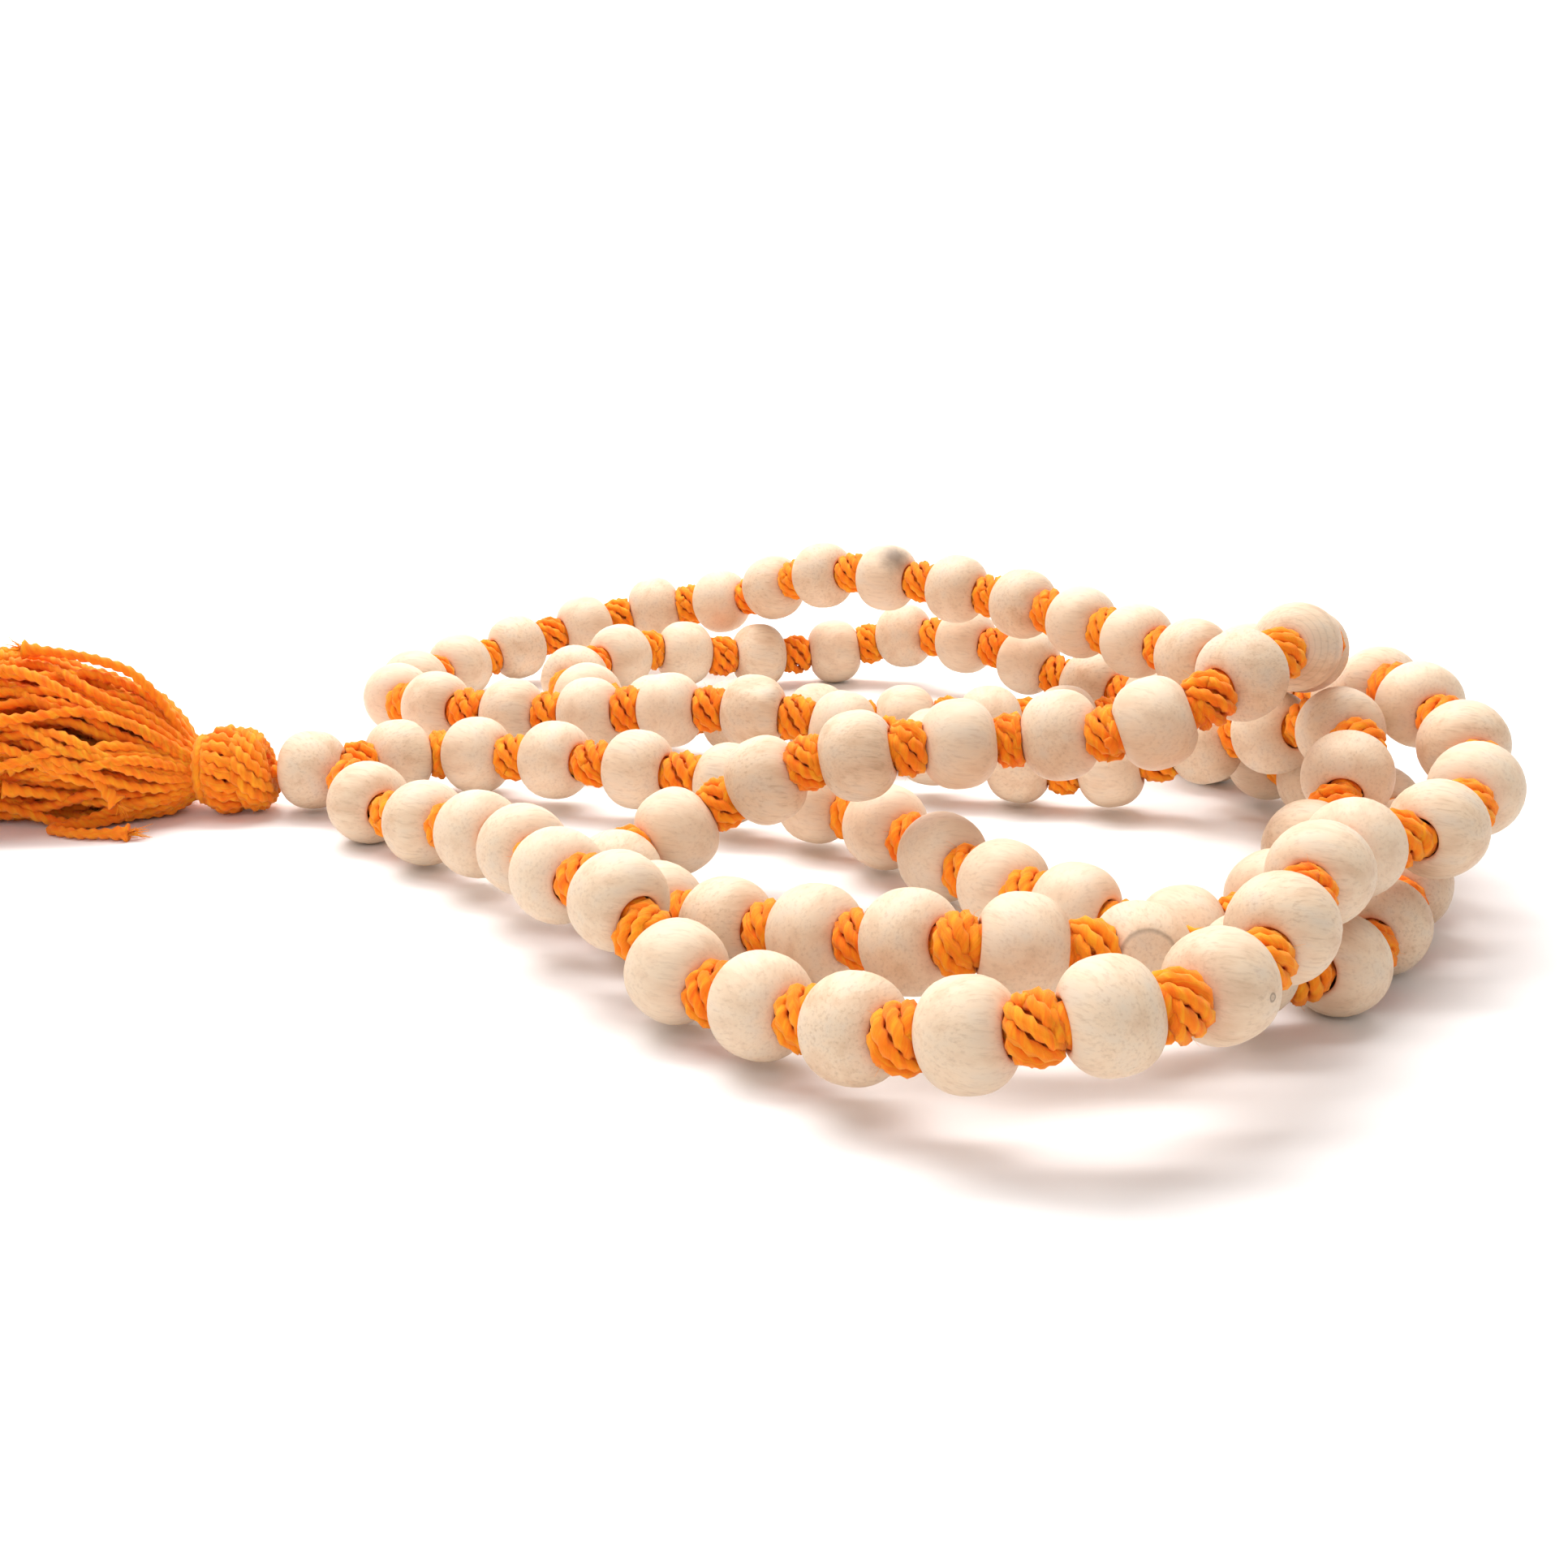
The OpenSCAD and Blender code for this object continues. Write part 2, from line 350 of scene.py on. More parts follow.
# The colour sockets of a Mix node, which share their names with its other types
MIX_A = 6
MIX_B = 7
MIX_RESULT = 2


def mix(nodes, links, factor, a, b, blend="MIX"):
    made = node(nodes, "Mix", data_type="RGBA", blend_type=blend)
    for socket, value in ((made.inputs["Factor"], factor), (made.inputs[MIX_A], a),
                          (made.inputs[MIX_B], b)):
        if isinstance(value, (int, float)):
            socket.default_value = value
        elif isinstance(value, tuple):
            socket.default_value = (*value, 1)
        else:
            links.new(value, socket)
    return made.outputs[MIX_RESULT]


def maths(nodes, links, operation, a, b=0.0):
    made = node(nodes, "Math", operation=operation)
    for socket, value in zip(made.inputs, (a, b)):
        if isinstance(value, (int, float)):
            socket.default_value = value
        else:
            links.new(value, socket)
    return made.outputs[0]


WOOD_PALE = (0.75, 0.565, 0.395)
WOOD_WARM = (0.66, 0.445, 0.285)
WOOD_GREY = (0.69, 0.56, 0.43)
WOOD_GRAIN = (0.46, 0.29, 0.18)


def wood_material(name, mark="none"):
    """Bare pale wood with fine short grain; mark adds one bead's own flaw."""
    material, nodes, links = new_material(name)
    shader = nodes["Principled BSDF"]
    place = attribute(nodes, "place").outputs["Vector"]
    tint = attribute(nodes, "tint").outputs["Fac"]
    broad = noise(nodes, links, mapping(nodes, links, place, (0.16, 0.42, 0.42)), 1.0, 4)
    base = ramp(nodes, links, broad, [(0.30, WOOD_WARM), (0.50, WOOD_PALE),
                                      (0.72, WOOD_GREY)])
    fine = noise(nodes, links, mapping(nodes, links, place, (0.40, 3.0, 3.0)), 1.0, 5, 0.62)
    streak = ramp(nodes, links, fine, [(0.50, (0, 0, 0)), (0.72, (1, 1, 1))])
    colour = mix(nodes, links, maths(nodes, links, "MULTIPLY", streak, 0.55), base, WOOD_GRAIN)
    pores = noise(nodes, links, mapping(nodes, links, place, (1.2, 6.0, 6.0)), 1.0, 2)
    pore = ramp(nodes, links, pores, [(0.66, (0, 0, 0)), (0.74, (1, 1, 1))])
    colour = mix(nodes, links, maths(nodes, links, "MULTIPLY", pore, 0.22), colour,
                 (0.48, 0.34, 0.24))
    lighter = maths(nodes, links, "MULTIPLY_ADD", tint, 0.5)
    lighter.node.inputs[2].default_value = 0.5
    colour = mix(nodes, links, maths(nodes, links, "MULTIPLY", lighter, 0.30), colour,
                 (0.84, 0.69, 0.53))
    height = mix(nodes, links, 0.4, fine, pores)
    strength = 0.22
    if mark != "none":
        colour, strength = wood_mark(nodes, links, colour, mark)
    links.new(colour, shader.inputs["Base Color"])
    rough = maths(nodes, links, "MULTIPLY_ADD", fine, 0.16)
    rough.node.inputs[2].default_value = 0.46
    links.new(rough, shader.inputs["Roughness"])
    bump = node(nodes, "Bump", Strength=strength, Distance=0.10 * MM)
    links.new(height, bump.inputs["Height"])
    links.new(bump.outputs["Normal"], shader.inputs["Normal"])
    shader.inputs["Specular IOR Level"].default_value = 0.32
    shader.inputs["Subsurface Weight"].default_value = 0.06
    shader.inputs["Subsurface Radius"].default_value = (0.9, 0.45, 0.25)
    shader.inputs["Subsurface Scale"].default_value = 0.8 * MM
    return material


def wood_mark(nodes, links, colour, mark):
    """The flaws of single beads, by distance in millimetres from the flaw's centre."""
    vector = attribute(nodes, "mark").outputs["Vector"]
    away = node(nodes, "VectorMath", operation="LENGTH")
    links.new(vector, away.inputs[0])
    away = away.outputs["Value"]
    rough = noise(nodes, links, vector, 0.9, 4, 0.65)
    uneven = maths(nodes, links, "ADD", away, maths(nodes, links, "MULTIPLY", rough, 1.6))
    dark, strength = (0.26, 0.19, 0.14), 0.22
    if mark == "spot":
        edge = ramp(nodes, links, away, [(0.0, (0.5,) * 3), (0.20, (0.3,) * 3),
                                         (0.34, (0.9,) * 3), (0.48, (0, 0, 0))])
    elif mark == "outline":
        scaled = maths(nodes, links, "MULTIPLY", away, 0.25)
        edge = ramp(nodes, links, scaled, [(0.58, (0, 0, 0)), (0.65, (0.5,) * 3),
                                           (0.68, (0.6,) * 3), (0.74, (0, 0, 0))])
    elif mark == "stain":
        scaled = maths(nodes, links, "MULTIPLY", uneven, 0.2)
        edge = ramp(nodes, links, scaled, [(0.30, (0.9,) * 3), (0.80, (0, 0, 0))])
    elif mark == "rings":
        rings = node(nodes, "TexWave", wave_type="RINGS", rings_direction="Z",
                     Scale=0.55, Distortion=0.8)
        links.new(vector, rings.inputs["Vector"])
        edge = ramp(nodes, links, rings.outputs["Fac"], [(0.80, (0, 0, 0)), (0.97, (0.14,) * 3)])
    else:
        scratches = noise(nodes, links, mapping(nodes, links, vector, (0.5, 5, 1.2)), 1.3, 5, 0.7)
        edge = ramp(nodes, links, scratches, [(0.56, (0, 0, 0)), (0.72, (0.35,) * 3)])
        strength = 0.3
    return mix(nodes, links, edge, colour, dark), strength


YARN_DEEP = (0.93, 0.115, 0.001)
YARN_MID = (1.0, 0.205, 0.002)
YARN_LIGHT = (1.0, 0.38, 0.012)


def yarn_material():
    """Soft plied yarn in vivid orange, with paler fibres along each ply."""
    material, nodes, links = new_material("orange_yarn")
    shader = nodes["Principled BSDF"]
    place = attribute(nodes, "place").outputs["Vector"]
    tint = attribute(nodes, "tint").outputs["Fac"]
    broad = noise(nodes, links, mapping(nodes, links, place, (0.22, 0.5, 1)), 1.0, 3)
    base = ramp(nodes, links, broad, [(0.28, YARN_DEEP), (0.50, YARN_MID), (0.72, YARN_LIGHT)])
    fibres = noise(nodes, links, mapping(nodes, links, place, (0.9, 3.6, 1)), 1.0, 5, 0.65)
    pale = ramp(nodes, links, fibres, [(0.48, (0, 0, 0)), (0.75, (1, 1, 1))])
    colour = mix(nodes, links, maths(nodes, links, "MULTIPLY", pale, 0.5), base, YARN_LIGHT)
    shift = maths(nodes, links, "MULTIPLY_ADD", tint, 0.25)
    shift.node.inputs[2].default_value = 0.1
    colour = mix(nodes, links, shift, colour, YARN_LIGHT)
    links.new(colour, shader.inputs["Base Color"])
    rough = maths(nodes, links, "MULTIPLY_ADD", fibres, 0.2)
    rough.node.inputs[2].default_value = 0.68
    links.new(rough, shader.inputs["Roughness"])
    bump = node(nodes, "Bump", Strength=0.55, Distance=0.16 * MM)
    links.new(fibres, bump.inputs["Height"])
    links.new(bump.outputs["Normal"], shader.inputs["Normal"])
    shader.inputs["Specular IOR Level"].default_value = 0.25
    shader.inputs["Sheen Weight"].default_value = 0.35
    shader.inputs["Sheen Roughness"].default_value = 0.5
    shader.inputs["Sheen Tint"].default_value = (1.0, 0.62, 0.25, 1)
    shader.inputs["Subsurface Weight"].default_value = 0.25
    shader.inputs["Subsurface Radius"].default_value = (1.0, 0.35, 0.05)
    shader.inputs["Subsurface Scale"].default_value = 0.9 * MM
    return material


KINDS = ["none", "spot", "outline", "stain", "rings", "scratches"]
WOODS = [wood_material("wood" if mark == "none" else "wood_" + mark, mark) for mark in KINDS]
YARN = yarn_material()


# ---------------------------------------------------------------- the string

LINK_STEPS = 7


def string_points():
    """From one mouth of the guru bead through every bead to the other mouth."""
    stops = [MOUTH_OUT, *CENTRES, MOUTH_IN]
    first = np.linalg.norm(CENTRES[0] - MOUTH_OUT) * np.array([1.0, 0, 0])
    last = np.linalg.norm(CENTRES[-1] - MOUTH_IN) * np.array([-1.0, 0, 0])
    slopes = [first, *SLOPES, last]
    points = [MOUTH_OUT]
    for k in range(len(stops) - 1):
        for j in range(1, LINK_STEPS + 1):
            at, _ = hermite(stops[k], stops[k + 1], slopes[k], slopes[k + 1], j / LINK_STEPS)
            points.append(at)
    return np.array(points)


def make_string():
    path = string_points()
    shape = Shape()
    add_strand(shape, path, CORD_D / 2 * 0.96, 0.3, np.random.default_rng(11))
    piece = shape.piece("yarn_string", "string", ["stringing_cord"], "string_yarn", [YARN])


make_string()


# ---------------------------------------------------------------- beads

BEAD_SIDES = 36
ARC_RINGS = 15
LIP_R = 2.7 * MM
SQUARENESS = 2.4
AXIAL_R = 1.02 * HALF_LEN


def bead_profile():
    """Radius and height of the turned bead's section, from one bore edge out over
    a rounded outline to the other bore edge."""
    power = 2 / SQUARENESS
    edge = math.asin((LIP_R / BEAD_R) ** (1 / power))
    arc = []
    for a in np.linspace(edge, math.pi - edge, ARC_RINGS):
        height = math.copysign(AXIAL_R * abs(math.cos(a)) ** power, math.cos(a))
        arc.append((BEAD_R * math.sin(a) ** power, height))
    top = arc[0][1]
    lip = [(BORE_R, top - 0.30 * MM), (BORE_R + 0.07 * MM, top - 0.08 * MM),
           (BORE_R + 0.27 * MM, top + 0.05 * MM)]
    return lip + arc + [(r, -z) for r, z in reversed(lip)]


# Single beads' flaws: the kind, and the direction from the bead's centre
FLAWS = {
    36: ("stain", (0.2, -0.6, 0.75)),
    44: ("rings", (-0.5, -0.8, 0.2)),
    45: ("scratches", (0.0, -0.9, 0.3)),
    49: ("scratches", (0.2, -0.8, 0.5)),
    58: ("outline", (0.0, -0.95, 0.3)),
    97: ("spot", (0.69, -0.70, 0.10)),
}
# Beads with a flat that a sander left: the direction and the depth
FLATS = {22: ((0.1, -0.4, 0.9), 0.5 * MM), 58: ((0.0, -0.95, 0.3), 0.8 * MM)}


def turned_frame(axis):
    side = unit(np.cross(axis, [0.13, 0.21, 0.97]))
    return np.array([side, np.cross(axis, side), axis])


def add_bead(shape, k):
    """One bead, a little uneven, with its own grain direction."""
    rng = np.random.default_rng(400 + k)
    centre = GURU if k == 0 else CENTRES[k - 1]
    axis = np.array([1.0, 0, 0]) if k == 0 else AXES[k - 1]
    basis = turned_frame(axis)
    profile = np.array(bead_profile())
    turn = np.linspace(0, 2 * math.pi, BEAD_SIDES, endpoint=False)
    ring = np.stack([np.cos(turn), np.sin(turn), 0 * turn], axis=1)
    local = (profile[:, None, 0, None] * ring[None, :, :]
             + profile[:, None, 1, None] * np.array([0, 0, 1.0]))
    local = local.reshape(-1, 3)
    ways = local / np.linalg.norm(local, axis=1)[:, None]
    waves = rng.normal(size=(4, 3))
    swell = sum(np.sin(ways @ wave * 2.1 + i) for i, wave in enumerate(waves)) / 4
    outer = np.clip((np.linalg.norm(local[:, :2], axis=1) - 0.5 * BEAD_R) / BEAD_R, 0, 1)
    local = local * (1 + 0.018 * swell * outer - 0.006)[:, None]
    world = local @ basis
    if k in FLATS:
        way, depth = FLATS[k]
        way = unit(np.array(way))
        height = world @ way
        world -= np.clip(height - (BEAD_R - depth), 0, None)[:, None] * way * 0.9
    grain = turned_frame(unit(rng.normal(size=3)))
    places = (world @ grain.T) / MM + rng.uniform(0, 200, 3)
    mark, kind = None, 0
    if k in FLAWS:
        name, way = FLAWS[k]
        toward = turned_frame(unit(np.array(way)))
        mark = (world - BEAD_R * 0.98 * unit(np.array(way))) @ toward.T / MM
        kind = KINDS.index(name)
    rings = len(profile)
    faces = []
    for i in range(rings):
        j = (i + 1) % rings
        for s in range(BEAD_SIDES):
            t = (s + 1) % BEAD_SIDES
            faces.append((i * BEAD_SIDES + s, j * BEAD_SIDES + s,
                          j * BEAD_SIDES + t, i * BEAD_SIDES + t))
    shape.add(world + centre, faces, places, rng.uniform(-1, 1), mark, kind)


def make_beads():
    for k in [0, *SINGLES]:
        shape = Shape()
        add_bead(shape, k)
        name = "guru_bead" if k == 0 else f"bead_{k}"
        shape.piece("wood_" + name, name, [name], "bead_wood", WOODS)
    for first in range(23, 87, RUN):
        shape = Shape()
        for k in range(first, first + RUN):
            add_bead(shape, k)
        name = f"beads_{first}_to_{first + RUN - 1}"
        shape.piece("wood_" + name, "string", [name], "bead_wood", WOODS)


make_beads()


# ---------------------------------------------------------------- knots

KNOT_R = 3.2 * MM
KNOT_STRAND_R = 0.62 * MM
KNOT_HALF = 2.1 * MM
KNOT_DEPTH = 0.75 * MM
KNOT_LEAST = 0.6 * MM
SHOULDER_ROOM = 0.35 * MM
KNOT_FIBRES = 22
KNOTS_PER_PIECE = 11
MOUTH_TURNS = 2.2
MOUTH_DEPTH = 1.3 * MM
MOUTH_RING = 1.25 * MM


def keep_off_bead(points, k, gap=0.04 * MM):
    """Moves points that lie in bead k's wood, or closer than the gap, out of it."""
    guru = k in (0, BEADS + 1)
    centre = GURU if guru else CENTRES[k - 1]
    axis = np.array([1.0, 0, 0]) if guru else AXES[k - 1]
    off = points - centre
    along = off @ axis
    out = np.linalg.norm(off - along[:, None] * axis, axis=1)
    near = ((out / (BEAD_R + gap)) ** SQUARENESS
            + (np.abs(along) / (AXIAL_R + gap)) ** SQUARENESS) ** (1 / SQUARENESS)
    inside = (near < 1) & (out > 0.9 * BORE_R)
    points[inside] = centre + off[inside] / near[inside, None]
    return points


def wound_path(centre, axis, core, half_width, half_depth, around, over, phase, steps):
    """A closed winding over a thick ring: it goes round the ring's axis `around`
    times while it goes over and under the ring's body `over` times."""
    basis = turned_frame(axis)
    t = np.linspace(0, 2 * math.pi, steps)
    round_axis = around * t + phase
    round_body = over * t
    out = core + half_depth * np.cos(round_body)
    path = (out[:, None] * (np.cos(round_axis)[:, None] * basis[0]
                            + np.sin(round_axis)[:, None] * basis[1])
            + (half_width * np.sin(round_body))[:, None] * basis[2])
    return centre + path


def add_mouth_turns(shape, k, side, rng):
    """The yarn that fills a bead's mouth, on the side where side is 1 or -1."""
    if k in (0, BEADS + 1):
        centre, axis = GURU, np.array([1.0, 0, 0])
    else:
        centre, axis = CENTRES[k - 1], side * AXES[k - 1]
    basis = turned_frame(axis)
    path = []
    for t in np.linspace(0, 1, 26):
        angle = 2 * math.pi * MOUTH_TURNS * t + k
        ring = math.cos(angle) * basis[0] + math.sin(angle) * basis[1]
        along = HALF_LEN + MOUTH_DEPTH * (1.6 * t - 1)
        path.append(centre + along * axis + MOUTH_RING * ring)
    add_strand(shape, path, BORE_R - MOUTH_RING - 0.12 * MM, 0.0, rng, 8)


def make_knots():
    for first in range(0, BEADS + 1, KNOTS_PER_PIECE):
        shape = Shape()
        last = min(first + KNOTS_PER_PIECE, BEADS + 1) - 1
        for k in range(first, last + 1):
            add_knot(shape, k)
        shape.piece(f"yarn_knots_{first}_to_{last}", "string", ["knots"], "string_yarn", [YARN])


def add_knot(shape, k):
    """The knot between bead k and the next, pressed between the two."""
    rng = np.random.default_rng(900 + k)
    before = GURU if k == 0 else CENTRES[k - 1]
    after = GURU if k == BEADS else CENTRES[k]
    middle = (leave(k) + enter(k + 1)) / 2
    room = max(np.linalg.norm(after - before) / 2 - HALF_LEN + SHOULDER_ROOM, KNOT_LEAST)
    half = min(KNOT_HALF, room) - KNOT_STRAND_R * 0.55
    size = rng.uniform(0.94, 1.04)
    core = KNOT_R * size - KNOT_STRAND_R - KNOT_DEPTH
    add_mouth_turns(shape, k, 1, rng)
    add_mouth_turns(shape, k + 1, -1, rng)
    path = wound_path(middle, unit(after - before), core, half, KNOT_DEPTH,
                      5, int(rng.integers(6, 9)), rng.uniform(0, 2 * math.pi), 190)
    path += 0.12 * MM * rng.normal(size=3)
    inside = KNOT_STRAND_R * 0.7
    path = keep_off_bead(keep_off_bead(path, k, inside), k + 1, inside)
    add_strand(shape, path, KNOT_STRAND_R * size, rng.uniform(-0.6, 0.8), rng, 8)
    strand = keep_off_bead(keep_off_bead(shape.points[-1], k), k + 1)
    for _ in range(KNOT_FIBRES):
        start = strand[rng.integers(len(strand))]
        way = unit(unit(start - middle) + 0.8 * rng.normal(size=3))
        add_fibre(shape, start, way, rng.uniform(0.4, 1.3) * MM, FIBRE_R, rng)


make_knots()


# ---------------------------------------------------------------- tassel

YARN_R = 0.60 * MM
BINDING_FRONT = -11.9 * MM
BINDING_BACK = -14.5 * MM
HEAD_AT = -8.6 * MM
HEAD_STRANDS = 19
HEAD_TURNS = 6
# How far round the axis a head strand leans over its length, in radians
HEAD_LEAN = 0.5
HEAD_THROAT_R = 2.6
HEAD_SWELL = 2.5
# The tassel's knot stops this far from the guru bead's surface
HEAD_GAP = 0.25 * MM
BINDING_R = 3.7 * MM
BINDING_TURNS = 2.6
BINDING_STRAND_R = 0.62 * MM
NECK_END = -4.9 * MM
SKIRT_STRANDS = 130
# How far a strand that meets the floor is pushed sideways, for each unit it would sink
FLOOR_SPREAD = 1.7


def on_ring(x, radius, angle):
    """A point on a ring round the tassel's axis, x along it from the guru bead."""
    return GURU + np.array([x, radius * math.cos(angle), radius * math.sin(angle)])


def make_neck():
    shape = Shape()
    rng = np.random.default_rng(21)
    for side in (-1, 1):
        xs = np.linspace(HALF_LEN + GURU_LEAD, NECK_END, 30)
        path = [GURU + np.array([x, side * STRAND_GAP, 0]) for x in xs]
        add_strand(shape, path, CORD_D / 2 * 0.92, 0, rng)
    return shape.piece("yarn_neck", "string", ["tassel_neck_cord"], "string_yarn", [YARN])


def make_head():
    """The head knot: a bulb of strands gathered at the binding, and a thick turn of
    strands over it next to the guru bead."""
    shape = Shape()
    rng = np.random.default_rng(31)
    for i in range(HEAD_STRANDS):
        angle = 2 * math.pi * (i + 0.3 * rng.uniform()) / HEAD_STRANDS
        path = []
        for t in np.linspace(0, 1, 26):
            x = BINDING_FRONT - 1.2 * MM + t * 5.6 * MM
            swell = HEAD_SWELL * math.sin(math.pi * min(1, 0.08 + 0.95 * t)) ** 0.8
            radius = (HEAD_THROAT_R + swell) * MM
            path.append(on_ring(x, radius - 0.2 * MM, angle + HEAD_LEAN * t))
        add_strand(shape, path, YARN_R * 1.22, rng.uniform(-0.5, 0.8), rng)
    for i in range(HEAD_TURNS):
        path = wound_path(GURU + np.array([HEAD_AT + 0.9 * MM, 0, 0]),
                          unit(np.array([1.0, 0.12, 0.25])),
                          (2.6 + 0.1 * i) * MM, 2.0 * MM, 1.75 * MM,
                          2, 3, i * math.pi / 6, 170)
        add_strand(shape, path, YARN_R * 1.12, rng.uniform(-0.5, 0.8), rng)
    for i, points in enumerate(shape.points):
        off = points - GURU
        far = np.linalg.norm(off, axis=1)
        close = far < BEAD_R + HEAD_GAP
        points[close] = GURU + off[close] / far[close, None] * (BEAD_R + HEAD_GAP)
    add_fuzz(shape, 500, rng, 1.2 * MM)
    return shape.piece("yarn_head_knot", "tassel_head", ["tassel_head_knot"],
                       "tassel_yarn", [YARN])


def add_fuzz(shape, count, rng, longest):
    """Stray fibres standing off strands that the shape already has."""
    points = np.concatenate([rows for rows in shape.points if len(rows) > 20])
    middle = points.mean(axis=0)
    for _ in range(count):
        start = points[rng.integers(len(points))]
        out = unit((start - middle) * np.array([0.3, 1, 1]))
        way = unit(out + 0.9 * rng.normal(size=3))
        if start[2] + way[2] * longest < 0.1 * MM:
            way[2] = abs(way[2])
        add_fibre(shape, start, way, rng.uniform(0.3, 1) * longest, FIBRE_R, rng)


def make_binding():
    shape = Shape()
    rng = np.random.default_rng(41)
    path = []
    for t in np.linspace(0, 1, 90):
        x = BINDING_BACK + 0.7 * MM + t * 1.3 * MM
        radius = BINDING_R + 0.2 * MM * math.sin(9 * t)
        path.append(on_ring(x, radius, 2 * math.pi * BINDING_TURNS * t))
    add_strand(shape, path, BINDING_STRAND_R, 1.0, rng)
    add_fuzz(shape, 60, rng, 0.9 * MM)
    return shape.piece("yarn_binding", "tassel_head", ["tassel_binding"],
                       "tassel_yarn", [YARN])


# The skirt's outline: distance behind the guru bead, radius, and height of its
# middle over the guru bead's, all in millimetres
SKIRT_OUTLINE = np.array([
    (-13.2, 3.2, 0.0), (-15.0, 4.0, 0.1), (-17.2, 6.8, 0.9), (-20, 8.8, 2.0),
    (-26, 10.2, 3.3), (-34, 11.0, 4.3), (-43, 11.6, 5.1), (-56.5, 12.0, 5.8)])


def skirt_strand(rng, spread, angle, reach):
    """A strand's path from the binding out to its cut end, resting on the floor.
    spread is its place between the skirt's middle, 0, and its outside, 1."""
    waves = rng.uniform(0, 2 * math.pi, 3)
    start, end = SKIRT_OUTLINE[0, 0], SKIRT_OUTLINE[-1, 0]
    path = []
    for t in np.linspace(0, reach, 84):
        x = start + t * (end - start)
        radius = np.interp(-x, -SKIRT_OUTLINE[:, 0], SKIRT_OUTLINE[:, 1]) - YARN_R / MM
        middle = np.interp(-x, -SKIRT_OUTLINE[:, 0], SKIRT_OUTLINE[:, 2])
        loose = min(1, 3 * t)
        swing = angle + loose * 0.28 * math.sin(5 * t + waves[0])
        out = radius * (spread + loose * 0.06 * math.sin(11 * t + waves[1]))
        y = 1.08 * out * math.cos(swing) + 0.5 * loose * math.sin(17 * t + waves[2])
        z = out * math.sin(swing) + middle + 0.5 * loose * math.sin(15 * t + waves[0])
        at = GURU + np.array([x, y, z]) * MM
        sunk = max(YARN_R * 1.2 - at[2], 0)
        at[2] += sunk
        at[1] += FLOOR_SPREAD * sunk * np.sign(y)
        path.append(at)
    return smooth(np.array(path))


def smooth(path):
    for _ in range(3):
        path[1:-1] = (path[:-2] + 2 * path[1:-1] + path[2:]) / 4
    return path


def add_cut_end(shape, path, rng, count=36):
    """The opened fibres at a strand's cut end."""
    way = unit(path[-1] - path[-4])
    for _ in range(count):
        spread = unit(way + 0.30 * rng.normal(size=3))
        start = path[-1] + 0.35 * YARN_R * rng.normal(size=3)
        if start[2] + spread[2] * 2 * MM < 0.1 * MM:
            spread[2] = abs(spread[2])
        add_fibre(shape, start, spread, rng.uniform(1.0, 2.8) * MM, 0.08 * MM, rng, 0.2)


# Loose strands that leave the skirt, from listed points: x, y, z from the
# guru bead's centre in millimetres
LOOSE = [
    [(-15.5, 0, 2.5), (-16.5, -1, 6.5), (-18, -2, 10.0), (-21, -2, 13.4), (-26, -2, 15.0),
     (-31, -2, 15.8), (-34, -2, 16.0)],
    [(-16, 1, 3.0), (-20, 0, 8.5), (-25, -1, 12.0), (-31, -1, 13.6), (-36, -1, 13.8)],
    [(-15.5, -2.5, 1.5), (-20, -7, 5.0), (-24, -8.6, 5.6), (-25, -9.4, 3.0), (-23, -9.8, 0.4),
     (-21.5, -10.2, -1.2)],
    [(-17, -3, -2.5), (-24, -7, -4.6), (-31, -9.5, -4.7), (-26, -11.5, -4.7),
     (-20, -11.5, -4.6)],
]


def loose_path(points):
    rows = np.array(points) * MM
    steps = np.linspace(0, len(rows) - 1, 60)
    out = np.stack([np.interp(steps, range(len(rows)), rows[:, i]) for i in range(3)], axis=1)
    for _ in range(5):
        out = smooth(out)
    out = GURU + out
    out[:, 2] = np.maximum(out[:, 2], YARN_R * 1.1)
    return out


def make_skirt():
    shape = Shape()
    rng = np.random.default_rng(51)
    golden = math.pi * (3 - math.sqrt(5))
    for i in range(SKIRT_STRANDS):
        spread = math.sqrt((i + 0.5) / SKIRT_STRANDS)
        reach = rng.uniform(0.88, 0.98) if rng.uniform() < 0.5 else rng.uniform(0.42, 0.68)
        path = skirt_strand(rng, spread, i * golden, reach)
        add_strand(shape, path, YARN_R, rng.uniform(-0.7, 0.9), rng, 8, 0.8)
        add_cut_end(shape, path, rng)
    for points in LOOSE:
        path = loose_path(points)
        add_strand(shape, path, YARN_R, rng.uniform(0, 0.9), rng, 8, 0.8)
        add_cut_end(shape, path, rng, 24)
    add_fuzz(shape, 2600, rng, 1.8 * MM)
    skirt = shape.piece("yarn_skirt", None, ["tassel_skirt"], "tassel_yarn", [YARN])
    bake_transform(skirt)


make_neck()
make_head()
make_binding()
make_skirt()


# ---------------------------------------------------------------- floor and light

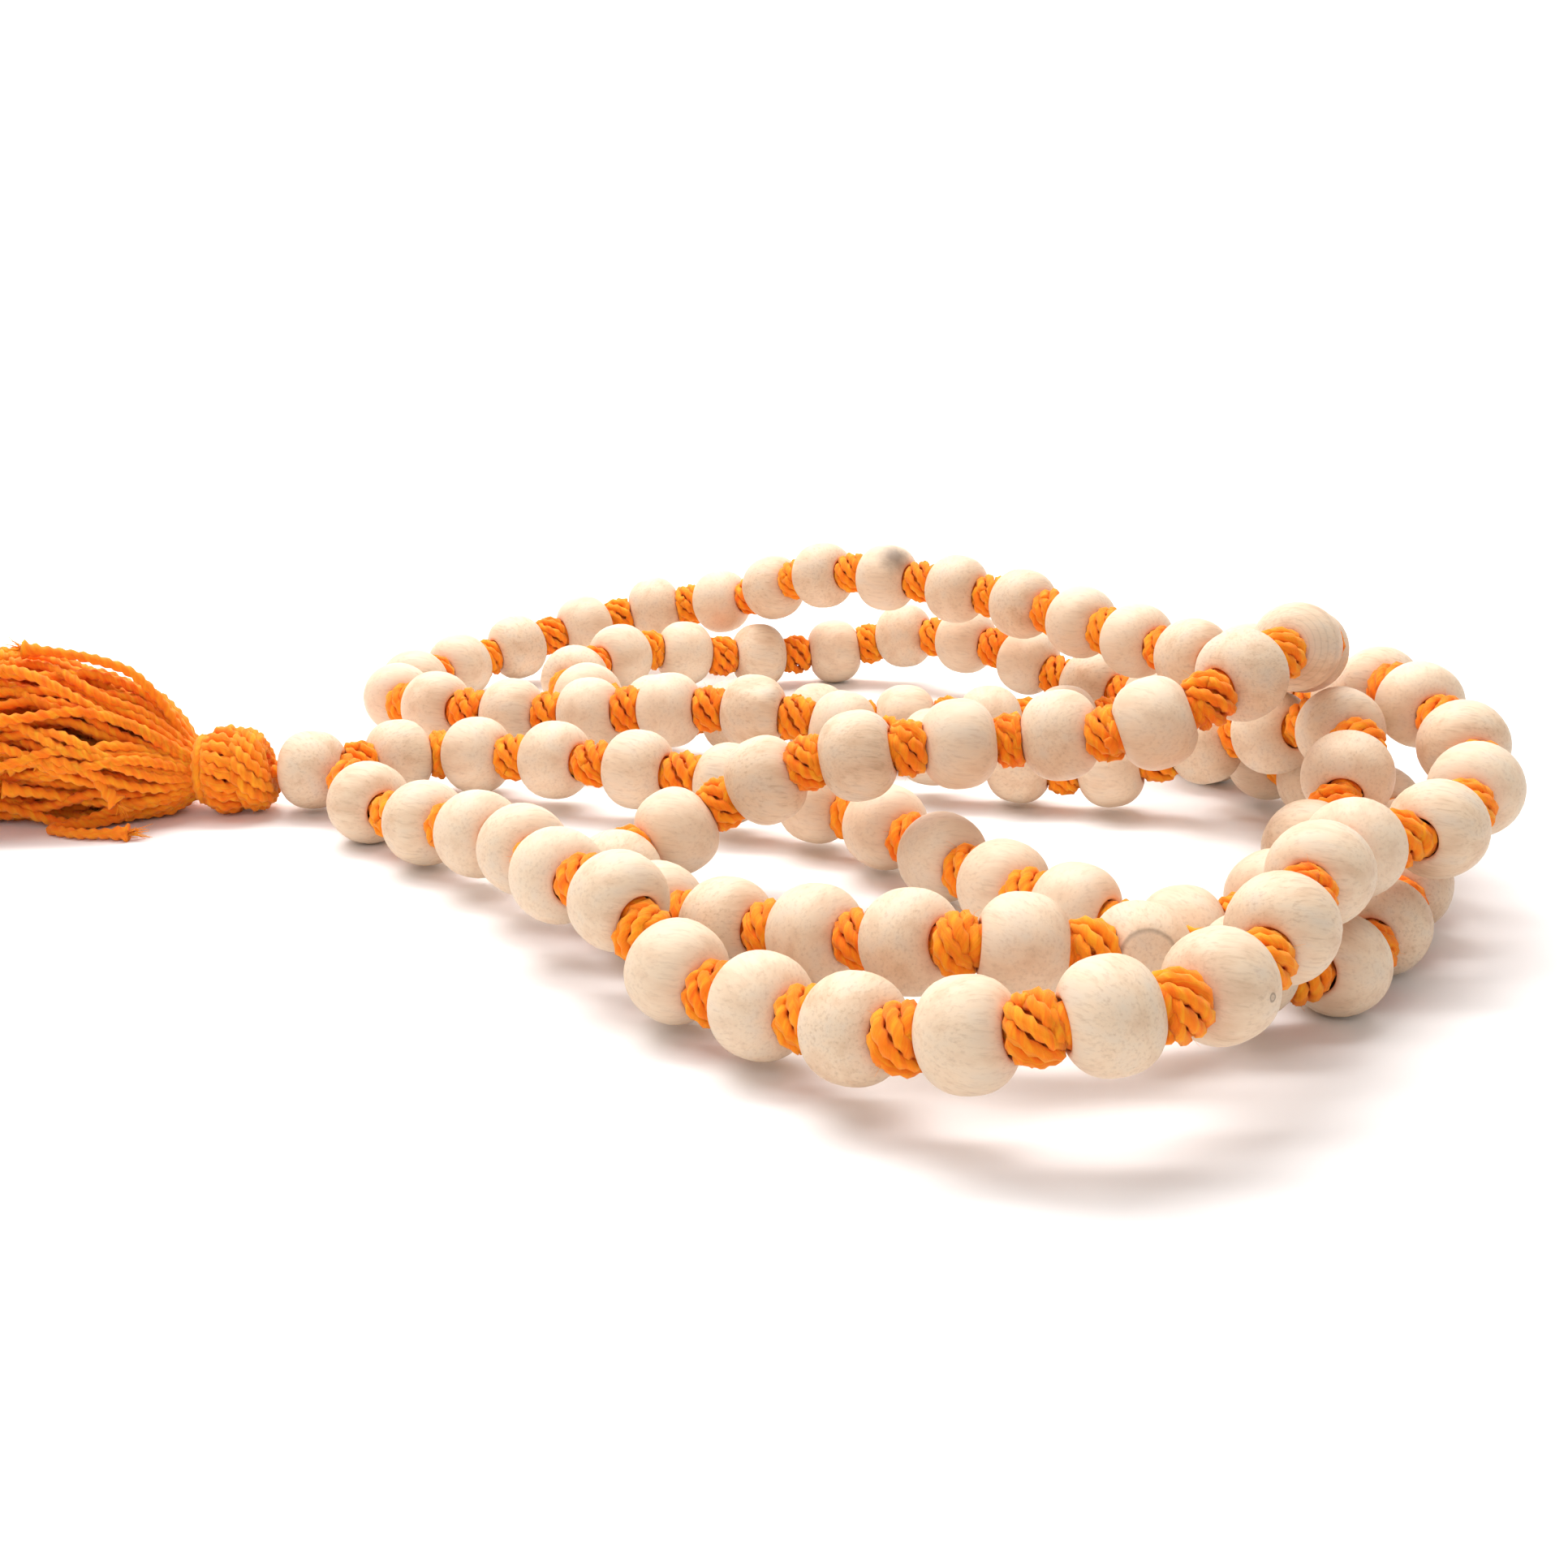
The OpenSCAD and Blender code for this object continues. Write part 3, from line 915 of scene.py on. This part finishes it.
def make_floor():
    """A white sheet that lies flat and curves up far behind the object."""
    half, back, bend, top = 2.0, 0.9, 0.5, 1.6
    line = [(-2.0, 0.0), (back, 0.0)]
    for i in range(1, 13):
        angle = math.pi / 2 * i / 12
        line.append((back + bend * math.sin(angle), bend * (1 - math.cos(angle))))
    line.append((back + bend, top))
    points = [(x, y, z) for y, z in line for x in (-half, half)]
    faces = [(2 * i, 2 * i + 1, 2 * i + 3, 2 * i + 2) for i in range(len(line) - 1)]
    mesh = bpy.data.meshes.new("floor")
    mesh.from_pydata(points, [], faces)
    mesh.polygons.foreach_set("use_smooth", [True] * len(faces))
    material, nodes, _ = new_material("white_paper")
    shader = nodes["Principled BSDF"]
    shader.inputs["Base Color"].default_value = (0.90, 0.885, 0.88, 1)
    shader.inputs["Roughness"].default_value = 0.85
    shader.inputs["Specular IOR Level"].default_value = 0.1
    mesh.materials.append(material)
    floor = bpy.data.objects.new("floor", mesh)
    bpy.context.collection.objects.link(floor)


def area_light(name, at, aim, size, power, colour=(1, 1, 1)):
    data = bpy.data.lights.new(name, "AREA")
    data.shape = "RECTANGLE"
    data.size, data.size_y = size
    data.energy = power
    data.color = colour
    light = bpy.data.objects.new(name, data)
    light.location = at
    light.rotation_euler = (Vector(aim) - Vector(at)).to_track_quat("-Z", "Y").to_euler()
    bpy.context.collection.objects.link(light)


def make_light():
    bpy.context.scene.view_settings.view_transform = "Standard"
    world = bpy.data.worlds.new("studio")
    world.use_nodes = True
    bpy.context.scene.world = world
    sky = world.node_tree.nodes["Background"]
    sky.inputs["Color"].default_value = (1, 0.985, 0.98, 1)
    sky.inputs["Strength"].default_value = 0.34
    area_light("key", (-0.25, 0.20, 0.75), (0, 0, 0), (0.9, 0.8), 7.2, (1, 0.99, 0.97))
    area_light("fill", (-0.15, -0.75, 0.55), (0, 0, 0), (0.7, 0.5), 1.7)
    area_light("backdrop", (0, 0.5, 1.2), (0, 1.4, 0.2), (1.6, 0.6), 30.0)


make_floor()
make_light()
